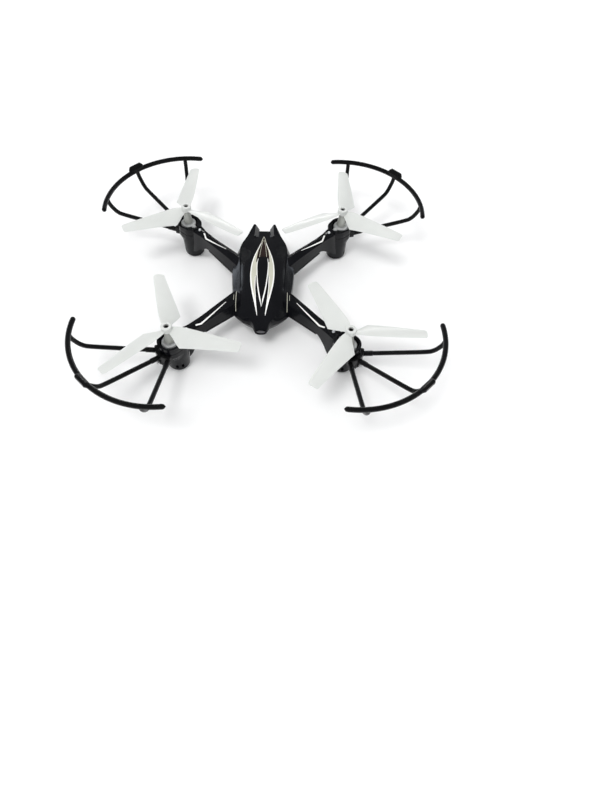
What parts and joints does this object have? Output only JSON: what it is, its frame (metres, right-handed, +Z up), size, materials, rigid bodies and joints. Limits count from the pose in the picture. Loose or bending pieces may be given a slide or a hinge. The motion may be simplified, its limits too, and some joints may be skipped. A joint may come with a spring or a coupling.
{
  "type": "toy quadcopter",
  "caption": "Small toy quadcopter with geared propellers, motor pods that serve as feet, bolt-on propeller guards and a sliding battery door.",
  "frame": {"origin": "on the floor, below the middle of the four propeller shafts, which is the bottom centre of the bounding box", "axes": "+Z up, nose towards -Y, the quadcopter's own left towards +X"},
  "size_m": [0.2732, 0.2732, 0.0508],
  "materials": {
    "black_abs": "gloss black moulded ABS",
    "guard_nylon": "semi-gloss black nylon",
    "propeller_plastic": "thin translucent off-white",
    "gear_nylon": "natural white nylon",
    "steel": "plated steel",
    "bronze": "sintered",
    "smoked_lens": "smoked, polished",
    "clear_lens": "clear moulded",
    "circuit_board": "solder mask",
    "battery_wrap": "foil wrap"
  },
  "bodies": {
    "airframe": {"top_shell": "black_abs", "bottom_shell": "black_abs", "nose_lens": "smoked_lens", "battery": "battery_wrap", "flight_board": "circuit_board", "case_screw_front_left": "steel", "case_screw_front_right": "steel", "case_screw_rear_left": "steel", "case_screw_rear_right": "steel", "motor_front_left": "steel", "motor_front_right": "steel", "motor_rear_left": "steel", "motor_rear_right": "steel", "bushing_front_left": "bronze", "bushing_front_right": "bronze", "bushing_rear_left": "bronze", "bushing_rear_right": "bronze", "motor_pod_front_left": "black_abs", "motor_pod_front_right": "black_abs", "motor_pod_rear_left": "black_abs", "motor_pod_rear_right": "black_abs", "prop_guard_front_left": "guard_nylon", "prop_guard_front_right": "guard_nylon", "prop_guard_rear_left": "guard_nylon", "prop_guard_rear_right": "guard_nylon", "guard_screw_front_left": "steel", "guard_screw_front_right": "steel", "guard_screw_rear_left": "steel", "guard_screw_rear_right": "steel", "led_front_left": "clear_lens", "led_front_right": "clear_lens", "led_rear_left": "clear_lens", "led_rear_right": "clear_lens"},
    "battery_door": {"battery_door": "black_abs"},
    "power_switch": {"power_switch": "guard_nylon"},
    "rotor_front_left": {"propeller_front_left": "propeller_plastic", "prop_screw_front_left": "steel", "prop_shaft_front_left": "steel", "spur_gear_front_left": "gear_nylon"},
    "pinion_front_left": {"pinion_front_left": "gear_nylon"},
    "rotor_front_right": {"propeller_front_right": "propeller_plastic", "prop_screw_front_right": "steel", "prop_shaft_front_right": "steel", "spur_gear_front_right": "gear_nylon"},
    "pinion_front_right": {"pinion_front_right": "gear_nylon"},
    "rotor_rear_left": {"propeller_rear_left": "propeller_plastic", "prop_screw_rear_left": "steel", "prop_shaft_rear_left": "steel", "spur_gear_rear_left": "gear_nylon"},
    "pinion_rear_left": {"pinion_rear_left": "gear_nylon"},
    "rotor_rear_right": {"propeller_rear_right": "propeller_plastic", "prop_screw_rear_right": "steel", "prop_shaft_rear_right": "steel", "spur_gear_rear_right": "gear_nylon"},
    "pinion_rear_right": {"pinion_rear_right": "gear_nylon"}
  },
  "joints": [
    {"name": "rotor_spin_front_left", "type": "hinge", "parent": "airframe", "child": "rotor_front_left", "pos_m": [0.0665, -0.0665, 0.03], "axis": [0, 0, 1], "continuous": true},
    {"name": "pinion_spin_front_left", "type": "hinge", "parent": "airframe", "child": "pinion_front_left", "pos_m": [0.06113, -0.06113, 0.0286], "axis": [0, 0, 1], "continuous": true},
    {"name": "rotor_spin_front_right", "type": "hinge", "parent": "airframe", "child": "rotor_front_right", "pos_m": [-0.0665, -0.0665, 0.03], "axis": [0, 0, 1], "continuous": true},
    {"name": "pinion_spin_front_right", "type": "hinge", "parent": "airframe", "child": "pinion_front_right", "pos_m": [-0.06113, -0.06113, 0.0286], "axis": [0, 0, 1], "continuous": true},
    {"name": "rotor_spin_rear_left", "type": "hinge", "parent": "airframe", "child": "rotor_rear_left", "pos_m": [0.0665, 0.0665, 0.03], "axis": [0, 0, 1], "continuous": true},
    {"name": "pinion_spin_rear_left", "type": "hinge", "parent": "airframe", "child": "pinion_rear_left", "pos_m": [0.06113, 0.06113, 0.0286], "axis": [0, 0, 1], "continuous": true},
    {"name": "rotor_spin_rear_right", "type": "hinge", "parent": "airframe", "child": "rotor_rear_right", "pos_m": [-0.0665, 0.0665, 0.03], "axis": [0, 0, 1], "continuous": true},
    {"name": "pinion_spin_rear_right", "type": "hinge", "parent": "airframe", "child": "pinion_rear_right", "pos_m": [-0.06113, 0.06113, 0.0286], "axis": [0, 0, 1], "continuous": true},
    {"name": "battery_door_slide", "type": "slide", "parent": "airframe", "child": "battery_door", "axis": [0, 1, 0], "range_m": [0, 0.02]},
    {"name": "power_switch_slide", "type": "slide", "parent": "airframe", "child": "power_switch", "axis": [1, 0, 0], "range_m": [0, 0.002]}
  ],
  "couplings": [
    {"joint": "pinion_spin_front_left", "follows": "rotor_spin_front_left", "ratio": -3.75},
    {"joint": "pinion_spin_front_right", "follows": "rotor_spin_front_right", "ratio": -3.75},
    {"joint": "pinion_spin_rear_left", "follows": "rotor_spin_rear_left", "ratio": -3.75},
    {"joint": "pinion_spin_rear_right", "follows": "rotor_spin_rear_right", "ratio": -3.75}
  ]
}
